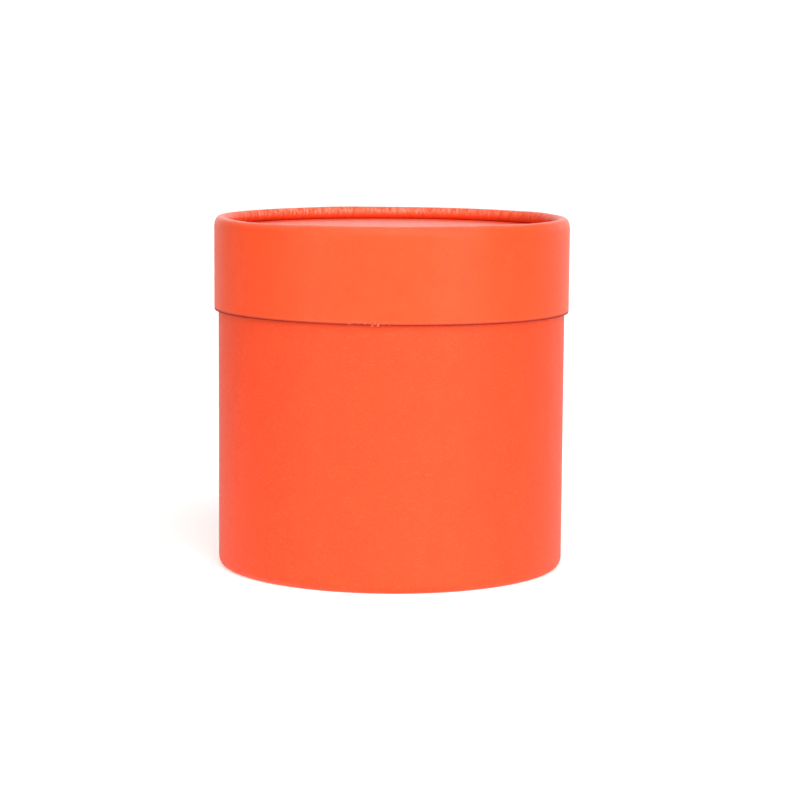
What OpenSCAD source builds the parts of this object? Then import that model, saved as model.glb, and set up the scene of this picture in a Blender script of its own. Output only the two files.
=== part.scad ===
// A small round gift box for flowers: a bucket and a cap lid that slides down over it.
// Both are wound board tubes, covered and lined with paper, with one edge curled inwards under a board disc.
// Millimetres, +Z up. The origin is the centre of the ring on which the bucket stands.

/* [Bucket] */
// Outside diameter of the bucket, over its covering paper
body_diameter = 124.5; // [100:0.5:160]
// Height of the bucket, from the surface it stands on to its cut rim
body_height = 119.3; // [70:0.1:180]
// Width of the flat ring on which the bucket stands
foot_flat = 1.2; // [0.8:0.1:2]
// How far the side leans inwards before it reaches that ring
foot_shoulder_in = 2; // [1.7:0.05:2.6]
// Height over which the side leans inwards
foot_shoulder_length = 3; // [2:0.1:5]
// How far the floor's underside lies above the surface the bucket stands on
foot_recess = 4.1; // [3.4:0.1:6]

/* [Lid] */
// How far the lid comes down over the outside of the bucket
lid_skirt = 26.4; // [12:0.1:60]
// Gap all round between the bucket and the lid
lid_clearance = 0.35; // [0.3:0.01:0.8]
// Width of the flattened crest on the lid's curl
crest_flat = 0.2; // [0.1:0.05:1]
// How far the lid's side leans inwards before it reaches that crest
lid_shoulder_in = 2.1; // [1.7:0.05:2.6]
// Height over which the lid's side leans inwards
lid_shoulder_length = 3.7; // [2:0.1:5]
// How far the lid's top lies below the crest of its curl
lid_recess = 4.4; // [3.4:0.1:6]

/* [Board and paper] */
// Thickness of the wound board in both tubes
tube_board = 0.9; // [0.6:0.05:1.1]
// Thickness of the board in the floor and in the lid's top
disc_board = 1.6; // [1:0.1:3]
// Thickness of the orange covering paper
wrap_paper = 0.12; // [0.08:0.01:0.16]
// Thickness of the white lining paper
lining_paper = 0.12; // [0.08:0.01:0.2]
// Thickness of the glue film between two layers
glue_film = 0.03; // [0.02:0.01:0.05]
// Width of the lap where the two ends of a covering paper overlap
lap_width = 8; // [4:0.5:15]
// How far a tube's lining stops short of the cut edge and of the disc
lining_inset = 0.3; // [0.2:0.05:2]
// Height of the glue rings hidden inside the two curls
ring_height = 0.8; // [0.4:0.1:1.2]

/* [Hidden] */
$fn = 144;

// Straight pieces that stand for each quarter turn of a curl
quarter_steps = 6;

// Colours of the pieces
cover_colour = "#fd6a3e";
lining_colour = "#f3efe6";
board_colour = "#b7a58c";
glue_colour = "#efe6d2";

// Depths of the board's two sides below the outside of a wall, and the whole wall
board_depth = wrap_paper + glue_film;
board_back_depth = board_depth + tube_board;
wall = board_back_depth + glue_film + lining_paper;

// Radii of the bucket and of the lid that goes over it: outside, and inside the board
body_r = body_diameter / 2;
lid_r = body_r + lid_clearance + wall;
body_board_r = body_r - board_back_depth;
lid_board_r = lid_r - board_back_depth;

// Thickness of a disc with the papers on its two sides
disc_stack = wrap_paper + glue_film + disc_board + glue_film + lining_paper;

// The lid's top board rests on the bucket's rim, so the rim sets the lid's height
lid_top = body_height + disc_stack + lid_recess;
lid_length = lid_recess + disc_stack + lid_skirt;

// Each curl: how far its shoulder leans in, the shoulder's length, the flat, and the radius of the roll
foot_curl = [foot_shoulder_in, foot_shoulder_length, foot_flat, (foot_recess - glue_film) / 2];
lid_curl = [lid_shoulder_in, lid_shoulder_length, crest_flat, (lid_recess - glue_film) / 2];

// The upper sheet of a lap stands out by its own thickness and the glue under it
lap_step = wrap_paper + glue_film;

// Points along a quarter or half turn of an ellipse about a centre
function turn_points(centre, half_width, half_height, from, to, steps) = [
    for (i = [0:steps])
        let (angle = from + (to - from) * i / steps)
            [centre[0] + half_width * cos(angle), centre[1] - half_height * sin(angle)]
];

// The line that a wall follows at a depth below its outside. Heights count from the crest of the curl:
// from the cut edge along the side, over the shoulder, across the flat and round the roll
function wall_line(side_r, length, curl, depth) = concat(
    [[side_r - depth, length]],
    turn_points([side_r - curl[0], curl[1]], curl[0] - depth, curl[1] - depth, 0, 90, quarter_steps),
    turn_points([side_r - curl[0] - curl[2], curl[3]], curl[3] - depth, curl[3] - depth, 90, 270,
                2 * quarter_steps)
);

function reversed(points) = [for (i = [len(points) - 1:-1:0]) points[i]];

// One layer of a curled wall, between two depths below its outside, with its crest at height zero
module curled_layer(side_r, length, curl, outer_depth, inner_depth) {
    rotate_extrude()
        polygon(concat(
            wall_line(side_r, length, curl, outer_depth),
            reversed(wall_line(side_r, length, curl, inner_depth))
        ));
}

// A covering paper with the lap of its two ends at the back, pressed flat where the curl begins
module covering(side_r, length, curl) {
    lap_angle = lap_width / side_r * 180 / PI;
    union() {
        curled_layer(side_r, length, curl, 0, wrap_paper);
        rotate([0, 0, 90 - lap_angle / 2])
            rotate_extrude(angle = lap_angle)
                translate([side_r - wrap_paper / 2, curl[1]])
                    square([wrap_paper / 2 + lap_step, length - curl[1]]);
    }
}

// A flat round sheet that just fits inside a board tube
module round_sheet(board_r, thickness) {
    cylinder(r = board_r - glue_film, h = thickness);
}

// A straight ring between two radii, from one height to another
module straight_ring(outer_r, inner_r, from_z, to_z) {
    rotate_extrude()
        translate([inner_r, from_z])
            square([outer_r - inner_r, to_z - from_z]);
}

// The lining of a tube, from near its disc to near its cut edge
module lining(board_r, recess, length) {
    lining_r = board_r - glue_film;
    straight_ring(lining_r, lining_r - lining_paper, recess + disc_stack + lining_inset, length - lining_inset);
}

// The glue that holds a disc, in the hollow between the end of the curl and the wall
module glue_ring(side_r, board_r, curl, recess) {
    curl_end_r = side_r - curl[0] - curl[2];
    straight_ring(board_r - glue_film, curl_end_r + glue_film, recess - glue_film - ring_height, recess - glue_film);
}

// Puts a piece whose heights count down from the lid's crest into its place
module hang_from_lid_top() {
    translate([0, 0, lid_top])
        mirror([0, 0, 1])
            children();
}

// Heights of the layers of a disc, counted from the crest of its curl
function facing_height(recess) = recess;
function disc_height(recess) = recess + wrap_paper + glue_film;
function disc_lining_height(recess) = disc_height(recess) + disc_board + glue_film;

// The covering paper of the bucket's side, round its lower curl
module body_wrap() {
    color(cover_colour)
        covering(body_r, body_height, foot_curl);
}

// The wound board tube of the bucket
module body_tube() {
    color(board_colour)
        curled_layer(body_r, body_height, foot_curl, board_depth, board_back_depth);
}

// The lining paper inside that tube
module body_lining() {
    color(lining_colour)
        lining(body_board_r, foot_recess, body_height);
}

// The paper on the underside of the floor
module bottom_facing() {
    color(cover_colour)
        translate([0, 0, facing_height(foot_recess)])
            round_sheet(body_board_r, wrap_paper);
}

// The board of the floor
module bottom_disc() {
    color(board_colour)
        translate([0, 0, disc_height(foot_recess)])
            round_sheet(body_board_r, disc_board);
}

// The paper on the floor, seen from inside
module bottom_lining() {
    color(lining_colour)
        translate([0, 0, disc_lining_height(foot_recess)])
            round_sheet(body_board_r, lining_paper);
}

// The ring of glue that holds the floor, inside the lower curl
module bottom_glue() {
    color(glue_colour)
        glue_ring(body_r, body_board_r, foot_curl, foot_recess);
}

// The covering paper of the lid's side, round its curl
module lid_wrap() {
    color(cover_colour)
        hang_from_lid_top()
            covering(lid_r, lid_length, lid_curl);
}

// The wound board tube of the lid
module lid_tube() {
    color(board_colour)
        hang_from_lid_top()
            curled_layer(lid_r, lid_length, lid_curl, board_depth, board_back_depth);
}

// The lining paper inside that tube
module lid_lining() {
    color(lining_colour)
        hang_from_lid_top()
            lining(lid_board_r, lid_recess, lid_length);
}

// The paper on the lid's top
module lid_facing() {
    color(cover_colour)
        hang_from_lid_top()
            translate([0, 0, facing_height(lid_recess)])
                round_sheet(lid_board_r, wrap_paper);
}

// The board of the lid's top
module lid_disc() {
    color(board_colour)
        hang_from_lid_top()
            translate([0, 0, disc_height(lid_recess)])
                round_sheet(lid_board_r, disc_board);
}

// The paper under the lid's top, which rests on the bucket's rim
module lid_disc_lining() {
    color(lining_colour)
        hang_from_lid_top()
            translate([0, 0, disc_lining_height(lid_recess)])
                round_sheet(lid_board_r, lining_paper);
}

// The ring of glue that holds the lid's top, inside the lid's curl
module lid_glue() {
    color(glue_colour)
        hang_from_lid_top()
            glue_ring(lid_r, lid_board_r, lid_curl, lid_recess);
}

body_wrap();
body_tube();
body_lining();
bottom_disc();
bottom_facing();
bottom_lining();
bottom_glue();
lid_wrap();
lid_tube();
lid_lining();
lid_disc();
lid_facing();
lid_disc_lining();
lid_glue();
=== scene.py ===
# A small round gift box for flowers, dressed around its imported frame: papers, boards, light and camera.
import math

import bpy
import numpy as np
from mathutils import Matrix, Vector


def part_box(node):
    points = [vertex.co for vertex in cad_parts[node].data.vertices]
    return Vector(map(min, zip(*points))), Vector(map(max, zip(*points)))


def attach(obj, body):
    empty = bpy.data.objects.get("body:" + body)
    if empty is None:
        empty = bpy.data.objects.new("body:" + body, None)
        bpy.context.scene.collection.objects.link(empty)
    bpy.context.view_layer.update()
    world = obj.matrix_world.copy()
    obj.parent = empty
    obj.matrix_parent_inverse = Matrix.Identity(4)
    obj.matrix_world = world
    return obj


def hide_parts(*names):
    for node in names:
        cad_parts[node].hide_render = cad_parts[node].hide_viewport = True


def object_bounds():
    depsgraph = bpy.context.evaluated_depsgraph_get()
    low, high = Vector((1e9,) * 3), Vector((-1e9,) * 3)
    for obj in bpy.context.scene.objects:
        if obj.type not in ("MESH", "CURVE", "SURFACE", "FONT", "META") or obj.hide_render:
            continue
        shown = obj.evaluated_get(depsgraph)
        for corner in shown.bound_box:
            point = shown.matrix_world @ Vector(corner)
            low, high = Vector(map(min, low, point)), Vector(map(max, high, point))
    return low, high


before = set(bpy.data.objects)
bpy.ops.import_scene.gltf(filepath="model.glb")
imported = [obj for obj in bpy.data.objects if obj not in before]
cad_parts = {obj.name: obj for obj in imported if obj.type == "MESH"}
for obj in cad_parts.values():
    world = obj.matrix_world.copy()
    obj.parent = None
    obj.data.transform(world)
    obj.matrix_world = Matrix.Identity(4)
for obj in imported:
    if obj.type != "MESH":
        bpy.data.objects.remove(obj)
cadLow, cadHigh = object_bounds()
print("frame loaded:", len(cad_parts), "nodes")

mm = 0.001


def outerR(node):
    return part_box(node)[1].x


def lowZ(node):
    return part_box(node)[0].z


def highZ(node):
    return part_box(node)[1].z


# Thicknesses and gaps, read from the frame
paperThick = highZ("lid_facing") - lowZ("lid_facing")
liningThick = highZ("lid_disc_lining") - lowZ("lid_disc_lining")
glueFilm = lowZ("lid_facing") - highZ("lid_disc")
boardThick = outerR("lid_tube") - outerR("lid_lining") - glueFilm

# What shapes the two curled walls. up is 1 where the curl is at the top, and -1 where it is at the foot
lidWall = {
    "sideR": outerR("lid_wrap"), "crestZ": highZ("lid_wrap"), "cutZ": lowZ("lid_wrap"),
    "discZ": highZ("lid_facing"), "up": 1,
    "shoulderIn": 2.1 * mm, "shoulderLength": 3.7 * mm, "crestFlat": 0.2 * mm,
    # the edge is cut a little askew, lower at +X and +Y, and what lies within cutReach of it follows
    "cutLean": 0.22 * mm, "cutDip": 0.35 * mm, "cutLift": -0.52 * mm, "cutReach": 8 * mm,
    # lumps of the crest: degrees, half width in degrees, height in mm, and where on the roll they fade
    "crestLumps": [(110, 16, 0.18), (28, 14, 0.18), (-141, 24, -0.3), (-62, 18, 0.18)],
    "lumpsFade": (0.25, 0.6),
}
footWall = {
    "sideR": outerR("body_wrap"), "crestZ": lowZ("body_wrap"), "cutZ": highZ("body_wrap"),
    "discZ": lowZ("bottom_facing"), "up": -1,
    "shoulderIn": 2.0 * mm, "shoulderLength": 3.0 * mm, "crestFlat": 1.2 * mm,
    "cutLean": 0, "cutDip": 0, "cutLift": 0, "cutReach": 8 * mm,
    "crestLumps": [], "lumpsFade": (0.25, 0.6),
}


# Small maths

def smooth(low, high, x):
    t = np.clip((x - low) / (high - low), 0, 1)
    return t * t * (3 - 2 * t)


def evenSteps(count, start=0.0, end=1.0, withEnd=True):
    return list(np.linspace(start, end, count, endpoint=withEnd))


def ringNoise(angles, waves, seed):
    # A smooth seamless wobble round the ring, from -1 to 1. waves lists how often each wave goes round
    rng = np.random.default_rng(seed)
    total = np.zeros_like(angles)
    for count in waves:
        total += rng.uniform(0.4, 1) * np.cos(count * angles + rng.uniform(0, 2 * math.pi))
    return total / np.abs(total).max()


def uneven(angles, share, waves, seed):
    # A factor that wanders round the ring, between 1 and 1 less twice the share
    return 1 - share + share * ringNoise(angles, waves, seed)


def angleSet(count, crisp=(), gap=2e-4):
    # Even angles round the ring, with a pair set close together where an edge has to be crisp
    angles = np.arange(count) * 2 * math.pi / count
    extra = [a + side * gap for a in crisp for side in (-1, 1)]
    return np.unique(np.concatenate([angles, np.mod(extra, 2 * math.pi)]))


def ringLump(angles, centreDegrees, halfDegrees):
    # A soft swelling round one place of the ring, 1 at its middle
    away = np.mod(angles - np.radians(centreDegrees) + math.pi, 2 * math.pi) - math.pi
    return np.exp(-2 * (away / math.radians(halfDegrees)) ** 2)


def blurRows(field, count):
    # Sums of this many neighbours along each row, scaled so that random spots keep their height
    return np.array([np.convolve(row, np.ones(count) / math.sqrt(count), "same") for row in field])


def gridNoise(rows, columns, seed, across, along):
    # Soft random spots on a grid, this many rows and columns wide, with heights of about 1
    field = np.random.default_rng(seed).normal(0, 1, (rows, columns))
    return blurRows(blurRows(field, along).T, across).T


def cutFray(angles, seed, roughness):
    # Unevenness of a knife-cut edge, in metres
    raw = np.random.default_rng(seed).normal(0, 1, len(angles))
    return roughness * (raw + np.roll(raw, 1) + np.roll(raw, -1)) / 3


def cutOffset(wall, angles, distance):
    # How far the lean of the cut edge moves a point that lies this far from the edge
    offset = wall["cutLift"] - wall["cutLean"] * np.cos(angles) - wall["cutDip"] * (1 + np.sin(angles))
    return offset * smooth(wall["cutReach"], 0, distance)


def crestOffset(wall, angles, stage, t):
    # How far the crest's lumps lift each row: fully at the crest, and less down the shoulder and the roll
    share = np.where(stage == 1, t, np.where(stage == 2, 1 - smooth(*wall["lumpsFade"], t), 0))
    lumps = sum(height * mm * ringLump(angles, degrees, wide) for degrees, wide, height in wall["crestLumps"])
    return share[:, None] * lumps


# Mesh making

def makePiece(name, verts, faces, body, replaced, material, sharpAngle=40, marks=None):
    mesh = bpy.data.meshes.new(name)
    mesh.from_pydata(verts.tolist(), [], faces)
    mesh.validate()
    mesh.polygons.foreach_set("use_smooth", [True] * len(mesh.polygons))
    mesh.set_sharp_from_angle(angle=math.radians(sharpAngle))
    for label, values in (marks or {}).items():
        layer = mesh.attributes.new(label, "FLOAT", "POINT")
        layer.data.foreach_set("value", values.astype(np.float32).ravel())
    mesh.materials.append(material)
    piece = bpy.data.objects.new(name, mesh)
    bpy.context.scene.collection.objects.link(piece)
    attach(piece, body)
    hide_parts(*replaced)
    print("made", name, len(mesh.polygons), "faces")


def loopFaces(rows, columns, flip=False):
    # Quads of a torus: rows run round the closed profile, columns round the axis
    i, j = np.meshgrid(np.arange(rows), np.arange(columns), indexing="ij")
    a = i * columns + j
    b = i * columns + (j + 1) % columns
    c = ((i + 1) % rows) * columns + (j + 1) % columns
    d = ((i + 1) % rows) * columns + j
    quads = np.stack([a, d, c, b] if flip else [a, b, c, d], axis=-1).reshape(-1, 4)
    return quads.tolist()


def revolve(radii, heights, angles):
    # radii and heights have one row for each profile point and one column for each angle
    x = radii * np.cos(angles)
    y = radii * np.sin(angles)
    z = np.broadcast_to(heights, x.shape)
    return np.stack([x, y, z], axis=-1).reshape(-1, 3)


def wallPoint(wall, depth, stage, t):
    # A point of the wall's line at a depth below its outside, with its outward direction.
    # Stage 0 runs up the side, 1 over the shoulder, 2 over the crest's flat and round the roll
    rollR = abs(wall["crestZ"] - wall["discZ"]) / 2 - glueFilm / 2
    fullLength = abs(wall["crestZ"] - wall["cutZ"])
    if stage == 0:
        h = fullLength + (wall["shoulderLength"] - fullLength) * t
        return wall["sideR"] - depth, h, 1.0, 0.0
    if stage == 1:
        a = t * math.pi / 2
        wide, tall = wall["shoulderIn"], wall["shoulderLength"]
        nr, nh = math.cos(a) / wide, -math.sin(a) / tall
        size = math.hypot(nr, nh)
        return (wall["sideR"] - wide + (wide - depth) * math.cos(a), tall - (tall - depth) * math.sin(a),
                nr / size, nh / size)
    a = math.pi / 2 + t * math.pi
    centreR = wall["sideR"] - wall["shoulderIn"] - wall["crestFlat"]
    return (centreR + (rollR - depth) * math.cos(a), rollR - (rollR - depth) * math.sin(a),
            math.cos(a), -math.sin(a))


def wallLine(wall, depth, stages):
    # stages is a list of (stage, list of t). The result has one row (r, z, nr, nz, stage, t) for each point
    rows = []
    for stage, steps in stages:
        for t in steps:
            r, h, nr, nh = wallPoint(wall, depth, stage, t)
            rows.append((r, wall["crestZ"] - wall["up"] * h, nr, -wall["up"] * nh, stage, t))
    return np.array(rows)


# Laps and pleats

lapLook = {
    "width": 8 * mm,        # how far the two ends overlap
    "step": 0.15 * mm,      # the upper sheet and its glue
    "rampWidth": 0.9 * mm,  # where the upper sheet climbs over the end of the lower one
    "angle": math.pi / 2,   # the back
    "edgeWearAndHighlight": 0.22, "wearWidth": 0.45 * mm,
}


def lapRelief(angles, sideR):
    # How high the lap stands on the wall, a ramp on one side and the upper sheet's cut edge on the other, and
    # where that edge is rubbed
    along = (np.mod(angles - lapLook["angle"] + math.pi, 2 * math.pi) - math.pi) * sideR
    half = lapLook["width"] / 2
    ramp = smooth(-half - lapLook["rampWidth"] / 2, -half + lapLook["rampWidth"] / 2, along)
    rubbed = lapLook["edgeWearAndHighlight"] * smooth(lapLook["wearWidth"], 0, half - along) * (along < half)
    return lapLook["step"] * ramp * (along < half), rubbed


# Each family of pleats: mm between them, mm they lean sideways over the roll, their height, and how much
# painted shade and how much wear with painted highlight they show
pleatFamilies = [
    {"gaps": (1.3, 3.2), "lean": 2.4, "depth": 0.15 * mm, "ridge": False, "paintedShade": 0.42, "wearAndHighlight": -0.9},
    {"gaps": (1.0, 2.4), "lean": -2.8, "depth": 0.13 * mm, "ridge": True, "paintedShade": 0, "wearAndHighlight": 1.1},
    {"gaps": (0.9, 2.0), "lean": 1.5, "depth": 0.1 * mm, "ridge": True, "paintedShade": 0, "wearAndHighlight": 0.9},
    {"gaps": (0.5, 1.2), "lean": -0.6, "depth": 0.06 * mm, "ridge": False, "paintedShade": 0.3, "wearAndHighlight": -0.6},
]

# What all pleats share. Places on the roll run from 0 at the crest to 1 at the roll's end
pleatLook = {
    "sway": 0.4,                      # how far single pleats lean off, as a share of the gap beside them
    "strengths": (0.1, 1.0), "fewStrong": 1.4,   # the power that leaves few of them strong
    "begins": (-0.05, 0.3), "fadeIn": 0.16,
    "ends": (0.45, 1.3), "fadeOut": 0.2,
    "pivot": 0.3,                     # where on the roll a leaning pleat crosses its own straight line
    "sharpness": 2.8,
}


def pleatField(angles, ringR, gaps, leanMm, seed, turns):
    # Puckers where a sheet is drawn in round a roll. turns holds each row's place on the roll. The result is
    # 1 on the line of a strong pleat and 0 between two
    rng = np.random.default_rng(seed)
    around = 2 * math.pi * ringR / mm
    widths = []
    while sum(widths) < around:
        widths.append(rng.uniform(*gaps))
    widths = np.array(widths) / sum(widths) * 2 * math.pi
    count = len(widths)
    lines = np.concatenate([[0], np.cumsum(widths)])[:count]
    nearest = np.minimum(widths, np.roll(widths, 1))
    lean = leanMm * mm / ringR + rng.uniform(-pleatLook["sway"], pleatLook["sway"], count) * nearest
    strength = rng.uniform(*pleatLook["strengths"], count) ** pleatLook["fewStrong"]
    begins = rng.uniform(*pleatLook["begins"], count)
    ends = rng.uniform(*pleatLook["ends"], count)
    field = np.zeros((len(turns), len(angles)))
    for row, turn in enumerate(turns):
        if turn <= 0:
            continue
        here = lines + lean * (turn - pleatLook["pivot"])
        # measured from the first line, so that no pleat lies across the start
        along = np.mod(angles - here[0], 2 * math.pi)
        here = np.append(here - here[0], 2 * math.pi)
        left = np.searchsorted(here, along, side="right") - 1
        right = (left + 1) % count
        local = (along - here[left]) / (here[left + 1] - here[left])
        near = np.where(local < 0.5, left, right)
        rise = smooth(begins[near], begins[near] + pleatLook["fadeIn"], turn)
        fall = smooth(ends[near] - pleatLook["fadeOut"], ends[near], turn)
        field[row] = np.abs(2 * local - 1) ** pleatLook["sharpness"] * strength[near] * rise * (1 - fall)
    return field


# Materials

def toLinear(hexColour):
    # sRGB hex to linear RGBA
    parts = [int(hexColour[i:i + 2], 16) / 255 for i in (0, 2, 4)]
    return [c / 12.92 if c <= 0.04045 else ((c + 0.055) / 1.055) ** 2.4 for c in parts] + [1.0]


def perMetre(sizeMm):
    # Texture scale that gives features of this real size in millimetres
    return 1000 / sizeMm


def addNode(tree, kind, settings=None, inputs=None):
    # settings are the node's own properties. inputs gives its sockets in use, by name or by number, a
    # constant, an output or a node, which stands for its own first output in use
    node = tree.nodes.new(kind)
    for key, value in (settings or {}).items():
        setattr(node, key, value)
    sockets = [socket for socket in node.inputs if socket.enabled]
    for key, source in (inputs or {}).items():
        socket = sockets[key] if isinstance(key, int) else next(s for s in sockets if s.name == key)
        if isinstance(source, bpy.types.Node):
            source = next(output for output in source.outputs if output.enabled)
        if isinstance(source, bpy.types.NodeSocket):
            tree.links.new(source, socket)
        else:
            socket.default_value = source
    return node


# Settings that many nodes share
softStep = {"interpolation_type": "SMOOTHSTEP"}
mixColour = {"data_type": "RGBA"}


def newMaterial(name, look):
    # The material's random patterns: their real size, how fine and how rough they are, and how they are
    # squeezed along X, Y and Z or bent. place is the point of the surface, in metres
    material = bpy.data.materials.new(name)
    material.use_nodes = True
    tree = material.node_tree
    tree.nodes.clear()
    patterns = {"place": addNode(tree, "ShaderNodeTexCoord").outputs["Object"]}
    for label, pattern in look["patterns"].items():
        squeezed = addNode(tree, "ShaderNodeMapping", inputs={
            "Vector": patterns["place"], "Scale": pattern.get("squeeze", (1, 1, 1))})
        patterns[label] = addNode(tree, "ShaderNodeTexNoise", inputs={
            "Vector": squeezed, "Scale": perMetre(pattern["sizeMm"]), "Detail": pattern["detail"],
            "Roughness": pattern.get("rough", 0.5), "Distortion": pattern.get("bend", 0)})
    return material, tree, patterns


def layTints(tree, patterns, look):
    # Tints lie over the base colour, each where its pattern is high: the pattern, the heights between which
    # the tint comes in, how much of it shows, and its colour
    colour = toLinear(look["base"])
    for label, low, high, amount, tint in look["tints"]:
        share = addNode(tree, "ShaderNodeMapRange", softStep, {
            "Value": patterns[label], "From Min": low, "From Max": high, "To Max": amount})
        colour = addNode(tree, "ShaderNodeMix", mixColour, {
            "Factor": share, "A": colour, "B": toLinear(tint)})
    return colour


def wanderingRoughness(tree, patterns, look):
    # Roughness goes between two values with one of the patterns, nearly all of which lies from 0.3 to 0.7
    label, least, most = look["roughness"]
    return addNode(tree, "ShaderNodeMapRange", softStep, {
        "Value": patterns[label], "From Min": 0.3, "From Max": 0.7, "To Min": least, "To Max": most})


def finishMaterial(tree, patterns, look, colour, roughness, more=None):
    # relief says how high each pattern stands, and each bump is added to the one before
    normal = {}
    for label, height in look["relief"].items():
        normal = {"Normal": addNode(tree, "ShaderNodeBump", inputs={
            "Strength": look["reliefStrength"], "Distance": height, "Height": patterns[label], **normal})}
    shader = addNode(tree, "ShaderNodeBsdfPrincipled", inputs={
        "Base Color": colour, "Roughness": roughness, **normal, **look["shader"], **(more or {})})
    addNode(tree, "ShaderNodeOutputMaterial", inputs={"Surface": shader})


def coverPaper(name, look):
    # Through-dyed wood-free paper: matte, saturated, a faint tooth, edges that scuff to a paler pink. That
    # paler pink also serves as painted sheen and highlight, and a dark red as painted shade
    material, tree, patterns = newMaterial(name, look)
    colour = layTints(tree, patterns, look)
    for x, y, z, radius in look["specks"]:   # dark splinters of wood in the pulp
        away = addNode(tree, "ShaderNodeVectorMath", {"operation": "DISTANCE"}, {
            0: patterns["place"], 1: (x * mm, y * mm, z * mm)})
        core, rim = [share * radius * mm for share in look["speckRim"]]
        speck = addNode(tree, "ShaderNodeMapRange", softStep, {
            "Value": away, "From Min": core, "From Max": rim, "To Min": look["speckTint"], "To Max": 0})
        colour = addNode(tree, "ShaderNodeMix", mixColour, {
            "Factor": speck, "A": colour, "B": toLinear(look["speck"])})
    # wear with painted highlight, and painted shade, are laid on the mesh where the sheet is bent, cut or
    # rubbed
    wearAndHighlight, paintedShade = [addNode(tree, "ShaderNodeAttribute", {"attribute_name": label}).outputs["Fac"]
                    for label in ("wearAndHighlight", "paintedShade")]
    tops = addNode(tree, "ShaderNodeMapRange", softStep, {"Value": patterns["tooth"], **look["rubbedTops"]})
    patchy = addNode(tree, "ShaderNodeMath", {"operation": "MULTIPLY"}, {0: wearAndHighlight, 1: tops})
    # the pale pink tint is wear and painted sheen; the dark red tint is painted shade, in pleat valleys,
    # hollows and at the cut edge
    for share, tint in ((patchy, look["scuffAndSheenTint"]), (paintedShade, look["paintedShading"])):
        colour = addNode(tree, "ShaderNodeMix", mixColour, {
            "Factor": share, "A": colour, "B": toLinear(tint)})
    roughness = addNode(tree, "ShaderNodeMath", {"operation": "MULTIPLY_ADD"}, {
        0: paintedShade, 1: look["crushed"], 2: wanderingRoughness(tree, patterns, look)})
    finishMaterial(tree, patterns, look, colour, roughness)
    return material


bodyPaperLook = {
    # the real tooth is finer than a pixel of the picture, so it is drawn as coarse as it needs to show
    "patterns": {
        "mottle": {"sizeMm": 7, "detail": 3, "rough": 0.6},
        "tooth": {"sizeMm": 0.75, "detail": 3, "rough": 0.65},
        "bands": {"sizeMm": 9, "detail": 1, "squeeze": (1, 1, 0.03)},
        "fibre": {"sizeMm": 1.5, "detail": 1, "squeeze": (1, 1, 3.5), "bend": 1.5},
    },
    "base": "E9491F",
    "tints": [("mottle", 0.3, 0.7, 1, "E4451E"), ("tooth", 0.35, 0.75, 0.5, "D43A18"),
              ("fibre", 0.58, 0.7, 0.34, "F2673F"), ("bands", 0.3, 0.7, 0.25, "E4451E")],
    # the pale pink is wear with painted sheen and highlight; the dark red is painted shade
    "scuffAndSheenTint": "F39A85", "paintedShading": "8E1D08",
    # wear and painted highlight show most on the tops of the tooth
    "rubbedTops": {"From Min": 0.3, "From Max": 0.6, "To Min": 0.45, "To Max": 1},
    # x, y, z and radius of each speck in mm, and from what to what share of the radius it fades
    "specks": [], "speck": "6A2A1C", "speckTint": 0.75, "speckRim": (0.6, 1.3),
    "relief": {"bands": 0.04 * mm, "tooth": 0.035 * mm, "fibre": 0.03 * mm}, "reliefStrength": 1,
    "roughness": ("tooth", 0.5, 0.59), "crushed": 0.4,   # how much rougher the paper is where shade is painted
    "shader": {"IOR": 1.5, "Specular IOR Level": 0.23, "Sheen Weight": 0.02, "Sheen Roughness": 0.4},
}
lidPaperLook = dict(
    bodyPaperLook, base="E94E22",
    tints=[("mottle", 0.3, 0.7, 1, "E54A20"), ("tooth", 0.35, 0.75, 0.34, "DC411A"),
           ("fibre", 0.58, 0.7, 0.24, "F2663C"), ("bands", 0.3, 0.7, 0.25, "E54A20")],
    specks=[(-14.8, -62.06, 104.2, 0.25)],
    relief={"bands": 0.04 * mm, "tooth": 0.018 * mm, "fibre": 0.014 * mm},
    roughness=("tooth", 0.41, 0.5),
)


def plainMaterial(name, look):
    # A material that needs nothing but its patterns, tints and relief
    material, tree, patterns = newMaterial(name, look)
    finishMaterial(tree, patterns, look, layTints(tree, patterns, look),
                   wanderingRoughness(tree, patterns, look))
    return material


# Uncoated white liner paper: soft, slightly warm, fine flecks
linerLook = {
    # here too the tooth is drawn coarser than it is, so that it shows
    "patterns": {
        "cloud": {"sizeMm": 9, "detail": 3, "rough": 0.6},
        "tooth": {"sizeMm": 0.5, "detail": 3, "rough": 0.6},
        "fleck": {"sizeMm": 0.9, "detail": 1},
    },
    "base": "F1EDE4", "tints": [("cloud", 0.3, 0.7, 1, "EAE5DA"), ("fleck", 0.71, 0.76, 0.5, "B9AE9B")],
    "relief": {"tooth": 0.02 * mm}, "reliefStrength": 1, "roughness": ("tooth", 0.72, 0.85),
    "shader": {"IOR": 1.5, "Specular IOR Level": 0.4, "Sheen Weight": 0.05, "Sheen Roughness": 0.5},
}

# White wood glue dried to a cloudy, slightly yellow film
glueLook = {
    "patterns": {"cloud": {"sizeMm": 1.5, "detail": 2}},
    "base": "EFE6D2", "tints": [("cloud", 0.3, 0.7, 1, "E2D6BB")],
    "relief": {"cloud": 0.1 * mm}, "reliefStrength": 1, "roughness": ("cloud", 0.25, 0.4),
    "shader": {"IOR": 1.47, "Specular IOR Level": 0.5},
}


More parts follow.
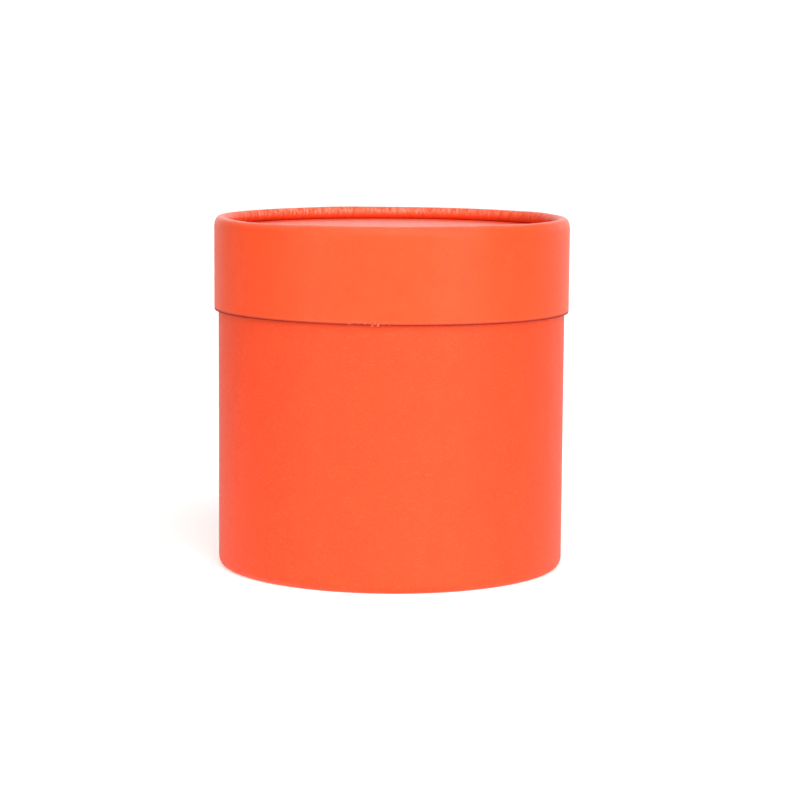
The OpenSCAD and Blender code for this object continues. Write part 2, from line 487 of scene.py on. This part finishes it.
def greyBoard(name, look):
    # Wound or punched board from recycled fibre: grey-brown and flecked, and a cut shows its plies as lines
    material, tree, patterns = newMaterial(name, look)
    apart = addNode(tree, "ShaderNodeSeparateXYZ", inputs={"Vector": patterns["place"]})
    flat = addNode(tree, "ShaderNodeCombineXYZ", inputs={"X": apart.outputs["X"], "Y": apart.outputs["Y"]})
    radius = addNode(tree, "ShaderNodeVectorMath", {"operation": "LENGTH"}, {0: flat})
    across = radius if look["plyAlong"] == "radius" else apart.outputs["Z"]
    turns = addNode(tree, "ShaderNodeMath", {"operation": "MULTIPLY"}, {
        0: across, 1: 2 * math.pi * perMetre(look["plyMm"])})
    patterns["ply"] = addNode(tree, "ShaderNodeMath", {"operation": "SINE"}, {0: turns})
    finishMaterial(tree, patterns, look, layTints(tree, patterns, look),
                   wanderingRoughness(tree, patterns, look))
    return material


boardLook = {
    "patterns": {
        "cloud": {"sizeMm": 3, "detail": 4, "rough": 0.65},
        "fleck": {"sizeMm": 0.45, "detail": 2, "squeeze": (1, 1, 2.5)},
    },
    "plyMm": 0.3, "plyAlong": "radius",
    "base": "B9A88F",
    "tints": [("cloud", 0.3, 0.7, 1, "A9987F"), ("ply", 0.75, 1, 0.6, "8E7E68"),
              ("fleck", 0.64, 0.72, 0.7, "6F6252")],
    "relief": {"fleck": 0.05 * mm}, "reliefStrength": 1, "roughness": ("cloud", 0.8, 0.92),
    "shader": {"IOR": 1.5, "Specular IOR Level": 0.3, "Sheen Weight": 0.08, "Sheen Roughness": 0.6},
}

bodyPaper = coverPaper("dyedWoodFreePaperWoundOnTube", bodyPaperLook)
lidPaper = coverPaper("dyedCalenderedPaperWoundOnLid", lidPaperLook)
whiteLiner = plainMaterial("uncoatedWhiteLinerPaper", linerLook)
woundBoard = greyBoard("recycledBoardWoundInPlies", boardLook)
discBoard = greyBoard("recycledBoardPunchedDisc", dict(boardLook, plyAlong="height", plyMm=0.4))
whiteGlue = plainMaterial("whiteWoodGlueDried", glueLook)
print("materials made")


# Pieces

# A knocked stretch of a cut edge: bruises of these sizes in mm, and tufts of torn paper
knockLook = {
    "spread": 1.1, "band": (2.4 * mm, 0.5 * mm),   # how wide it is felt, and between which heights it sets in
    "bruise": 0.03 * mm, "bruiseSizes": (0.9, 1.7), "bruiseWear": 0.1, "bruiseShade": 0.25,
    "tuftHeight": 1.1 * mm, "slantHeight": 0.8 * mm,
    "tuftOut": 0.5,                        # how far it stands out, as a share of how far it hangs
    "tuftWear": 0.25, "wearPerMm": 3,      # torn fibres are paler, the more the further they hang
    "tuftLight": 1.2, "lightPerMm": 5,     # and take the painted shadow off the cut edge where they hang over it
}


def knockEdge(wall, angles, distance, onOuter, seed, look):
    # What a knock adds to the covering: how far it stands out, its wear, the painted shade in its hollows and
    # how far it is lifted
    start, end = look["frayedDegrees"]
    half = abs(end - start) / 2
    degreesPerMm = mm / wall["sideR"] * 180 / math.pi
    knocked = ringLump(angles, (start + end) / 2, knockLook["spread"] * half)
    knocked = knocked * smooth(*knockLook["band"], distance) * onOuter
    out, wearAndHighlight, paintedShade, lift = 0, 0, 0, 0
    for size in knockLook["bruiseSizes"]:
        width = max(1, round(size * look["frayedSteps"] * degreesPerMm / (2 * half)))
        spots = gridNoise(*knocked.shape, seed + width, 1, width)
        out = out + knockLook["bruise"] * knocked * spots
        wearAndHighlight = wearAndHighlight + knockLook["bruiseWear"] * knocked * np.clip(spots, 0, 1)
        # hollow bruises get painted shade
        paintedShade = paintedShade + knockLook["bruiseShade"] * knocked * np.clip(-spots, 0, 1)
    for degrees, wide, drop, slant in look["tufts"]:
        centre = degrees + slant * degreesPerMm * smooth(knockLook["slantHeight"], 0, distance)
        tuft = ringLump(angles, centre, wide * degreesPerMm) * onOuter
        hang = smooth(knockLook["tuftHeight"], 0, distance) * tuft
        lift = lift - drop * mm * hang
        out = out + knockLook["tuftOut"] * drop * mm * hang
        wearAndHighlight = wearAndHighlight + knockLook["tuftWear"] * min(1, knockLook["wearPerMm"] * abs(drop)) * hang
        # a hanging tuft takes off the painted shadow of the edge behind it
        paintedShade = paintedShade - min(knockLook["tuftLight"], knockLook["lightPerMm"] * abs(drop)) * hang
    return out, wearAndHighlight, paintedShade, lift


def makeCovering(name, wall, body, replaced, material, seed, look):
    # The covering paper: a thin closed shell round the side, the shoulder and the roll, with lap, pleats and
    # cut edge. Its inside lies on the glue and needs few rows
    frayed = np.linspace(*look["frayedDegrees"], look["frayedSteps"])
    plain = angleSet(look["segments"], [lapLook["angle"] + lapLook["width"] / 2 / wall["sideR"]])
    # rounding joins two angles that fall together, or a row of faces would have no width
    angles = np.unique(np.round(np.concatenate([plain, np.mod(np.radians(frayed), 2 * math.pi)]), 7))
    sideLength = abs(wall["cutZ"] - wall["crestZ"]) - wall["shoulderLength"]
    sideSteps = [height * mm / sideLength for height in look["edgeRows"]] + look["sideRows"]
    outer = wallLine(wall, 0, [(0, sideSteps), (1, evenSteps(look["shoulderRows"], withEnd=False)),
                               (2, evenSteps(look["rollRows"]))])
    inner = wallLine(wall, paperThick, [(2, evenSteps(5, 1, 0)), (1, evenSteps(3, 0.7, 0)), (0, [0.5, 0])])
    line = np.concatenate([outer, inner])
    stage, t = line[:, 4], line[:, 5]
    onOuter = (np.arange(len(line)) < len(outer))[:, None]
    onRoll = np.where(stage == 2, t, 0)
    sideShare = np.where(stage == 0, 1, np.where(stage == 1, 1 - t, 0))[:, None]
    # rows past the side count as a metre further from the cut edge, so that nothing of the edge reaches them
    distance = (t * sideLength + (stage > 0))[:, None]

    # The wall is never quite round: long shallow waves from the winding, and the lap at the back
    waves = look["waveHeight"] * ringNoise(angles, look["wallWaves"], seed + 3)
    lap, lapWear = lapRelief(angles, wall["sideR"])
    out = (waves + lap * onOuter) * sideShare

    # Wear and painted highlight on the roll, the crest and the shoulder, stronger on one side of the ring and
    # in patches. The paler crest line and the shoulder patches are painted highlights, and the roll's paler
    # pink is partly painted sheen
    patch = look["crumpledFloor"] + (1 - look["crumpledFloor"]) * ringLump(angles, *look["crumpled"])
    patch = patch * uneven(angles, look["patchy"], look["patchWaves"], seed + 2)
    rubbed = (smooth(*look["rubbedFrom"], onRoll) * (1 - smooth(*look["rubbedTo"], onRoll)))[:, None]
    rollWearAndSheen = uneven(angles, look["unevenWearAndHighlight"], look["rollWearAndSheenWaves"], seed + 5)
    crestWearAndHighlight = uneven(angles, look["unevenWearAndHighlight"], look["crestWearAndHighlightWaves"], seed + 7)
    upShoulder = np.where(stage == 1, smooth(*look["crestFrom"], t), 0)
    onCrest = np.where(stage == 2, smooth(*look["crestTo"], t), upShoulder)[:, None]
    onShoulder = np.where(stage == 1, smooth(*look["shoulderFrom"], t), 0)[:, None]
    wearAndHighlight = look["rollWearAndSheen"] * rubbed * patch * rollWearAndSheen + look["crestWearAndHighlight"] * onCrest * crestWearAndHighlight
    for degrees, wide, amount in look["paintedShoulderHighlight"]:
        wearAndHighlight = wearAndHighlight + amount * ringLump(angles, degrees, wide) * onShoulder

    # Pleats on the roll, and small dents in every direction that make them irregular. The pleats' valleys get
    # painted shade, their ridges wear with painted highlight
    paintedShade = np.zeros_like(wearAndHighlight)
    paintedShading = smooth(*look["paintedShadeFrom"], onRoll)[:, None]
    for k, family in enumerate(pleatFamilies):
        ringR = wall["sideR"] - 2 * wall["shoulderIn"]
        field = pleatField(angles, ringR, family["gaps"], family["lean"], seed + 11 * k, onRoll)
        field = field * patch * onOuter
        out = out + (field if family["ridge"] else -field) * family["depth"]
        wearAndHighlight = wearAndHighlight + family["wearAndHighlight"] * field * rubbed
        paintedShade = paintedShade + family["paintedShade"] * field * paintedShading
    dents = gridNoise(len(line), len(angles), seed + 8, *look["dentSpots"]) * rubbed * patch * onOuter
    out = out + look["dents"] * dents
    wearAndHighlight = wearAndHighlight + look["dentWear"] * dents

    # The knife leaves a burr: the last rows round inwards, with a dark band painted over them as painted
    # shadow along the cut edge, and a paler band above that is wear and painted highlight. The edge wanders a
    # little
    out = out - look["burr"] * smooth(look["burrHeight"], 0, distance) * onOuter
    wearAndHighlight = wearAndHighlight + look["edgeWearAndHighlight"] * smooth(*look["edgeWearAndHighlightBand"], distance)
    # painted shadow along the cut edge
    paintedShade = paintedShade + look["paintedEdgeShadow"] * smooth(*look["paintedEdgeShadowBand"], distance)
    onEdge = distance < 0.001 * mm
    lift = cutOffset(wall, angles, distance) + np.abs(cutFray(angles, seed + 4, look["fray"])) * onEdge
    knock = knockEdge(wall, angles, distance, onOuter, seed + 6, look)
    out, wearAndHighlight, paintedShade, lift = [total + more for total, more in zip((out, wearAndHighlight, paintedShade, lift), knock)]

    # No dent is deeper than the paper, or the board would come through
    deepest = look["deepestShare"] * (paperThick + glueFilm)
    out = np.where((out < 0) & onOuter, -deepest * np.tanh(-out / deepest), out)
    lift = lift + crestOffset(wall, angles, stage, t)
    radii = line[:, 0][:, None] + line[:, 2][:, None] * out
    heights = line[:, 1][:, None] + line[:, 3][:, None] * out + wall["up"] * lift
    wearAndHighlight = wearAndHighlight + lapWear * sideShare
    marks = {"wearAndHighlight": np.clip(wearAndHighlight * onOuter, 0, 1), "paintedShade": np.clip(paintedShade * onOuter, 0, 1)}
    faces = loopFaces(len(line), len(angles), flip=wall["up"] < 0)
    makePiece(name, revolve(radii, heights, angles), faces, body, replaced, material, marks=marks)


# A pair of heights or of shares is where something sets in and where it is complete. Shares of the roll run
# from 0 at the crest to 1 at its end, and of the shoulder from 0 at the side to 1 at the crest
lidCoverLook = {
    "segments": 1860,
    # rows: mm above the cut edge, shares of the side, and how many go over the shoulder and round the roll
    "edgeRows": (0, 0.1, 0.26, 0.6, 1.1, 1.8, 3), "sideRows": [0.3, 0.6, 0.95],
    "shoulderRows": 8, "rollRows": 22,
    "waveHeight": 0.035 * mm, "wallWaves": (3, 5, 8, 13, 21, 34),
    "fray": 0.03 * mm, "burr": 0.1 * mm, "burrHeight": 0.85 * mm,
    # the paler band above the cut edge is wear and painted highlight
    "edgeWearAndHighlight": 0.12, "edgeWearAndHighlightBand": (1.3 * mm, 0.65 * mm),
    # the dark band at the cut edge is painted shadow, standing for the shadow under the lid's edge
    "paintedEdgeShadow": 1.0, "paintedEdgeShadowBand": (0.85 * mm, 0.34 * mm),
    "unevenWearAndHighlight": 0.25,
    # the paler pink on the roll is wear and painted sheen, the pale line on the crest is wear and a painted
    # highlight
    "rollWearAndSheen": 0.6, "rollWearAndSheenWaves": (29, 43, 67, 97), "rubbedFrom": (0, 0.12), "rubbedTo": (0.25, 0.7),
    "crestWearAndHighlight": 0.55, "crestWearAndHighlightWaves": (4, 7, 19, 31), "crestFrom": (0.5, 1), "crestTo": (0.15, 0.02),
    # degrees, half width in degrees, and how strong each painted shoulder highlight is
    "paintedShoulderHighlight": [(-140, 42, 0.2), (-46, 24, 0.08), (-63, 6, 0.06)], "shoulderFrom": (0.1, 0.8),
    # where on the roll the painted shade of the pleats sets in
    "paintedShadeFrom": (0.1, 0.55),
    "dents": 0.03 * mm, "dentWear": 0.16, "dentSpots": (3, 5),   # rows and columns that a dent goes over
    # where the pleats are strongest, in degrees, with its half width, and how strong they are on the far side
    "crumpled": (122, 75), "crumpledFloor": 0.6, "patchy": 0.2, "patchWaves": (9, 14, 23, 37, 61),
    "deepestShare": 0.8,   # of the paper and its glue, for the deepest dent
    "frayedDegrees": (-105, -89), "frayedSteps": 100,
    # each tuft: degrees, half width, how far it hangs down and how far it slants sideways, mm
    "tufts": [(-94.8, 0.6, 0.34, -1.3), (-93.8, 0.5, 0.24, -0.4), (-102.9, 1.2, 0.06, 0),
              (-100.4, 0.35, 0.05, 0), (-98.4, 0.3, 0.08, -0.2), (-92.6, 0.3, 0.05, 0),
              (-90.6, 0.3, 0.08, 0)],
}
bodyCoverLook = dict(
    lidCoverLook, waveHeight=0.04 * mm, edgeWearAndHighlight=0.25, paintedEdgeShadow=0.2, crumpled=(36, 75),
    frayedDegrees=(40, 52), tufts=[(44, 0.4, -0.12, 0), (47, 0.3, -0.1, 0)],
)
makeCovering("lidCovering", lidWall, "lid", ["lid_wrap"], lidPaper, 11, lidCoverLook)
makeCovering("bodyCovering", footWall, "bucket", ["body_wrap"], bodyPaper, 21,
             bodyCoverLook)


def makeBoardTube(name, wall, body, replaced, material, seed, look):
    # The wound board: plies end in a cut edge that is slightly open between them
    angles = angleSet(look["count"])
    depthOut = paperThick + glueFilm
    depthIn = depthOut + boardThick
    crisp = look["crispRow"]
    outer = wallLine(wall, depthOut, [(0, [0, crisp, 0.5, 0.9]), (1, evenSteps(6, withEnd=False)),
                                      (2, evenSteps(12))])
    inner = wallLine(wall, depthIn, [(2, evenSteps(9, 1, 0)), (1, evenSteps(5, 0.85, 0)),
                                     (0, [0.5, crisp, 0])])
    # Across the cut edge, groove rows lie between the plies
    rowsPerPly = 3
    count = look["plies"] * rowsPerPly
    inside, outside = inner[-1], outer[0]
    crossing = [[inside[0] + (outside[0] - inside[0]) * k / count, inside[1], 0, 0, 3, k / count]
                for k in range(1, count)]
    line = np.concatenate([outer, inner, crossing])
    radii = np.repeat(line[:, 0][:, None], len(angles), axis=1)
    distance = np.abs(line[:, 1] - wall["cutZ"])[:, None]
    lift = cutOffset(wall, angles, distance) + crestOffset(wall, angles, line[:, 4], line[:, 5])
    heights = line[:, 1][:, None] + wall["up"] * lift
    rng = np.random.default_rng(seed)
    walls = len(outer) + len(inner)
    for k, row in enumerate(range(walls, len(line))):
        ragged = look["fray"] * (0.5 + 0.5 * rng.random(len(angles)))
        if (k + 1) % rowsPerPly == 0:
            opened = uneven(angles, look["grooveUneven"], look["grooveWaves"], seed + k)
            ragged = ragged + look["groove"] * opened
        heights[row] += wall["up"] * ragged
    for row in (0, walls - 1):
        heights[row] += wall["up"] * look["fray"] * rng.random(len(angles))
    faces = loopFaces(len(line), len(angles), flip=wall["up"] < 0)
    makePiece(name, revolve(radii, heights, angles), faces, body, replaced, material,
              sharpAngle=50)


tubeLook = {
    "count": 1080, "crispRow": 0.004,   # the share of the side at which a row keeps the cut edge crisp
    "plies": 3, "groove": 0.12 * mm, "grooveUneven": 0.4, "grooveWaves": (5, 11, 17, 31), "fray": 0.03 * mm,
}
makeBoardTube("lidBoardTube", lidWall, "lid", ["lid_tube"], woundBoard, 31, tubeLook)
makeBoardTube("bodyBoardTube", footWall, "bucket", ["body_tube"], woundBoard, 41, tubeLook)


def makeSheetDisc(name, node, body, material, seed, look):
    # A round sheet: rings of faces round a middle point on each side, slightly cockled, with a soft cut rim
    low, high = lowZ(node), highZ(node)
    angles = angleSet(look["count"])
    slow = ringNoise(angles, look["cockleWaves"], seed)
    quick = ringNoise(angles, look["rippleWaves"], seed + 1)
    rim = look["rimShare"] * (high - low)
    rows = [(s, high) for s in look["rings"]] + [(1, high - rim), (1, low + rim)]
    rows += [(s, low) for s in look["rings"][::-1]]
    radii, heights = [], []
    for s, z in rows:
        cockle = look["cockle"] * s * (1 - s) * 4 * slow
        ripple = look["ripple"] * s ** 4 * (1 - smooth(*look["flatRim"], s)) * quick
        radii.append(outerR(node) * s * np.ones_like(angles))
        heights.append(z + cockle + ripple)
    verts = revolve(np.stack(radii), np.stack(heights), angles)
    n = len(angles)
    last = (len(rows) - 1) * n
    faces = loopFaces(len(rows), n, flip=True)[:last]
    top, bottom = len(verts), len(verts) + 1
    verts = np.vstack([verts, [0, 0, high], [0, 0, low]])
    faces += [[top, j, (j + 1) % n] for j in range(n)]
    faces += [[bottom, last + (j + 1) % n, last + j] for j in range(n)]
    marks = {"wearAndHighlight": np.zeros(len(verts)), "paintedShade": np.zeros(len(verts))}
    makePiece(name, verts, faces, body, [node], material, sharpAngle=55, marks=marks)


coverDiscLook = {
    "count": 480,
    # the rings, as shares of the radius: close together near the rim
    "rings": (0.02, 0.06, 0.12, 0.2, 0.3, 0.4, 0.5, 0.6, 0.7, 0.78, 0.85, 0.9, 0.94, 0.965, 0.985, 0.995),
    "rimShare": 0.25,   # of the thickness, for the rounding of the rim
    "cockle": 0.05 * mm, "cockleWaves": (2, 3, 5),
    "ripple": 0.03 * mm, "rippleWaves": (7, 11, 19), "flatRim": (0.97, 1),
}
flatDiscLook = dict(coverDiscLook, cockle=0, ripple=0)
makeSheetDisc("lidTopPaper", "lid_facing", "lid", lidPaper, 51, coverDiscLook)
makeSheetDisc("underLidPaper", "lid_disc_lining", "lid", whiteLiner, 53, flatDiscLook)
makeSheetDisc("footPaper", "bottom_facing", "bucket", bodyPaper, 55, flatDiscLook)
makeSheetDisc("floorPaper", "bottom_lining", "bucket", whiteLiner, 57, flatDiscLook)


def makeLining(name, node, wall, body, seed, look):
    # The lining sheet inside a tube: a thin ring with wavering cut edges and a lap of its own
    low, high = lowZ(node), highZ(node)
    outR = outerR(node)
    inR = outR - liningThick
    angles = angleSet(look["count"], [look["lapAngle"]])
    along = np.mod(angles - look["lapAngle"] + math.pi, 2 * math.pi) - math.pi
    lapStart, lapFull = [share * look["lapWidth"] / inR for share in look["lapRamp"]]
    lap = look["lapStep"] * smooth(lapStart, lapFull, along) * (along < 0)
    waver = [look["waver"] * ringNoise(angles, look["waverWaves"], seed + k) for k in (0, 1)]
    upwards = evenSteps(look["rows"])
    radii, heights = [], []
    for radius, shares in ((inR - lap, upwards), (outR * np.ones_like(angles), upwards[::-1])):
        for s in shares:
            z = low + (high - low) * s
            lift = waver[0] * (1 - s) + waver[1] * s + cutOffset(wall, angles, abs(z - wall["cutZ"]))
            radii.append(radius)
            heights.append(z + lift)
    verts = revolve(np.stack(radii), np.stack(heights), angles)
    faces = loopFaces(len(radii), len(angles), flip=True)
    makePiece(name, verts, faces, body, [node], whiteLiner, sharpAngle=45)


liningLook = {
    "count": 720, "rows": 14, "waver": 0.12 * mm, "waverWaves": (3, 7, 12, 25),
    # the lap's place in radians, and the shares of its width, before its edge, between which it climbs
    "lapAngle": 2.2, "lapStep": 0.12 * mm, "lapWidth": 7 * mm, "lapRamp": (-1, -0.4),
}
makeLining("bodyLiningSheet", "body_lining", footWall, "bucket", 61, liningLook)
makeLining("lidLiningSheet", "lid_lining", lidWall, "lid", 63, dict(liningLook, lapAngle=0.9))

for node, material in (("bottom_disc", discBoard), ("lid_disc", discBoard), ("bottom_glue", whiteGlue),
                       ("lid_glue", whiteGlue)):
    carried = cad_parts[node].data
    carried.materials.clear()
    carried.materials.append(material)
print("boards and glue dressed")


# Stage, light and camera

stageLook = {
    "floorSize": 30.0, "floorDrop": 0.02 * mm,
    "litHalfWidth": 0.2, "fade": 0.3,   # the lit sheet's half width beside the object, and how soon it fades
    "litInFront": 0.15,                 # how much further it reaches towards the viewer
    # how much it widens behind the object: from where, to where, by how much on each side
    "widening": [(0.2, 2.0, 1.2), (2.0, 15.0, 3.0)],
    "glow": 0.28,
    "patterns": {"grain": {"sizeMm": 3, "detail": 3}},
    "sheet": ("F7F6F4", "F4F3F1"), "around": ("BFBEBC", "BAB9B7"),
    "relief": {"grain": 0.02 * mm}, "reliefStrength": 0.3, "roughness": ("grain", 0.8, 0.9),
    "shader": {"IOR": 1.5, "Specular IOR Level": 0.2, "Emission Color": (1, 1, 1, 1)},
}


def frostedSheet(name, look):
    # A white sheet lit from below, as for pictures of goods. It fades into a pale floor at its sides and in
    # front, and widens behind the object
    material, tree, patterns = newMaterial(name, look)
    apart = addNode(tree, "ShaderNodeSeparateXYZ", inputs={"Vector": patterns["place"]})
    beyond = addNode(tree, "ShaderNodeMath", {"operation": "ABSOLUTE"}, {0: apart.outputs["X"]})
    for start, end, amount in look["widening"]:
        wider = addNode(tree, "ShaderNodeMapRange", softStep, {
            "Value": apart.outputs["Y"], "From Min": start, "From Max": end, "To Max": amount})
        beyond = addNode(tree, "ShaderNodeMath", {"operation": "SUBTRACT"}, {0: beyond, 1: wider})
    low, high = look["litHalfWidth"], look["litHalfWidth"] + look["fade"]
    acrossSheet = addNode(tree, "ShaderNodeMapRange", softStep, {
        "Value": beyond, "From Min": low, "From Max": high, "To Min": 1, "To Max": 0})
    behindFront = addNode(tree, "ShaderNodeMapRange", softStep, {
        "Value": apart.outputs["Y"],
        "From Min": -high - look["litInFront"], "From Max": -low - look["litInFront"]})
    lit = addNode(tree, "ShaderNodeMath", {"operation": "MULTIPLY"}, {0: acrossSheet, 1: behindFront})
    sheet, around = [addNode(tree, "ShaderNodeMix", mixColour, {
        "Factor": patterns["grain"], "A": toLinear(first), "B": toLinear(second)})
        for first, second in (look["sheet"], look["around"])]
    colour = addNode(tree, "ShaderNodeMix", mixColour, {"Factor": lit, "A": around, "B": sheet})
    glow = addNode(tree, "ShaderNodeMath", {"operation": "MULTIPLY"}, {0: lit, 1: look["glow"]})
    roughness = wanderingRoughness(tree, patterns, look)
    finishMaterial(tree, patterns, look, colour, roughness, {"Emission Strength": glow})
    return material


def makeFloor(look):
    half = look["floorSize"] / 2
    z = cadLow.z - look["floorDrop"]
    corners = [(-half, -half, z), (half, -half, z), (half, half, z), (-half, half, z)]
    mesh = bpy.data.meshes.new("floor")
    mesh.from_pydata(corners, [], [(0, 1, 2, 3)])
    mesh.materials.append(frostedSheet("frostedTableSheet", look))
    floor = bpy.data.objects.new("floor", mesh)
    bpy.context.scene.collection.objects.link(floor)


makeFloor(stageLook)

# Azimuth 0 is the viewer's side and turns to the viewer's right. A glow is a broad soft light far away, as
# bright as it says inside its inner angle and gone outside its outer one. A box's brightness is what a white
# sheet facing it shows, 1 for white. Sizes and distances are metres
lightLook = {
    "room": 0.02,
    "glows": {
        "backdrop": {"azimuth": 180, "elevation": 0, "inner": 12, "outer": 52, "brightness": 2.1},
        "scrim": {"azimuth": 6, "elevation": 43, "inner": 5, "outer": 44, "brightness": 4.4},
    },
    "boxes": {
        "left": {"azimuth": -48, "elevation": 12, "distance": 1.7, "size": (0.5, 1.1), "brightness": 0.3},
        "right": {"azimuth": 44, "elevation": 12, "distance": 1.7, "size": (0.5, 1.1), "brightness": 0.46},
        "back": {"azimuth": 126, "elevation": 12, "distance": 1.6, "size": (1.2, 0.6), "brightness": 0.125},
    },
}


def awayTo(azimuth, elevation):
    a, e = math.radians(azimuth), math.radians(elevation)
    return Vector((math.sin(a) * math.cos(e), -math.cos(a) * math.cos(e), math.sin(e)))


def makeBox(name, look):
    lamp = bpy.data.lights.new(name, "AREA")
    lamp.shape = "RECTANGLE"
    lamp.size, lamp.size_y = look["size"]
    lamp.energy = look["brightness"] * (math.pi * look["distance"]) ** 2
    away = awayTo(look["azimuth"], look["elevation"])
    box = bpy.data.objects.new(name, lamp)
    box.location = (cadLow + cadHigh) / 2 + away * look["distance"]
    box.rotation_euler = away.to_track_quat("Z", "Y").to_euler()
    box.visible_camera = False
    bpy.context.scene.collection.objects.link(box)


def makeWorld(room, glows):
    world = bpy.data.worlds.new("paleStudio")
    bpy.context.scene.world = world
    world.use_nodes = True
    tree = world.node_tree
    tree.nodes.clear()
    towards = addNode(tree, "ShaderNodeTexCoord").outputs["Generated"]
    strength = room
    for glow in glows.values():
        closeness = addNode(tree, "ShaderNodeVectorMath", {"operation": "DOT_PRODUCT"}, {
            0: towards, 1: awayTo(glow["azimuth"], glow["elevation"])})
        outer, inner = [math.cos(math.radians(glow[side])) for side in ("outer", "inner")]
        lit = addNode(tree, "ShaderNodeMapRange", softStep, {
            "Value": closeness, "From Min": outer, "From Max": inner, "To Max": glow["brightness"]})
        strength = addNode(tree, "ShaderNodeMath", {"operation": "ADD"}, {0: strength, 1: lit})
    background = addNode(tree, "ShaderNodeBackground", inputs={"Color": (1, 1, 1, 1), "Strength": strength})
    addNode(tree, "ShaderNodeOutputWorld", inputs={"Surface": background})


makeWorld(lightLook["room"], lightLook["glows"])
for side, boxLook in lightLook["boxes"].items():
    makeBox(side + "Softbox", boxLook)

# The viewing place, worked out from the outline: distance and height from the foot's centre, and the tilt
cameraLook = {
    "distance": 928.4 * mm, "height": 179.6 * mm,
    "pitch": 0.12914, "yaw": 0.00354, "roll": 0.0072,
    "focalPixels": 2583.5, "imagePixels": 800, "sensor": 36,
    "clip": (0.01, 50),
}


def makeCamera(look):
    lens = bpy.data.cameras.new("camera")
    lens.sensor_width = look["sensor"]
    lens.lens = look["focalPixels"] / look["imagePixels"] * look["sensor"]
    lens.clip_start, lens.clip_end = look["clip"]
    pitch, yaw, roll = look["pitch"], look["yaw"], look["roll"]
    forward = Vector((math.sin(yaw) * math.cos(pitch), math.cos(yaw) * math.cos(pitch), -math.sin(pitch)))
    right = Vector((math.cos(yaw), -math.sin(yaw), 0))
    up = right.cross(forward)
    side = right * math.cos(roll) + up * math.sin(roll)
    top = up * math.cos(roll) - right * math.sin(roll)
    turn = Matrix((side, top, -forward)).transposed()
    camera = bpy.data.objects.new("camera", lens)
    camera.matrix_world = Matrix.Translation((0, -look["distance"], look["height"])) @ turn.to_4x4()
    bpy.context.scene.collection.objects.link(camera)
    bpy.context.scene.camera = camera


makeCamera(cameraLook)
bpy.context.scene.view_settings.view_transform = "Standard"
bpy.context.scene.view_settings.look = "None"
print("stage, light and camera made")
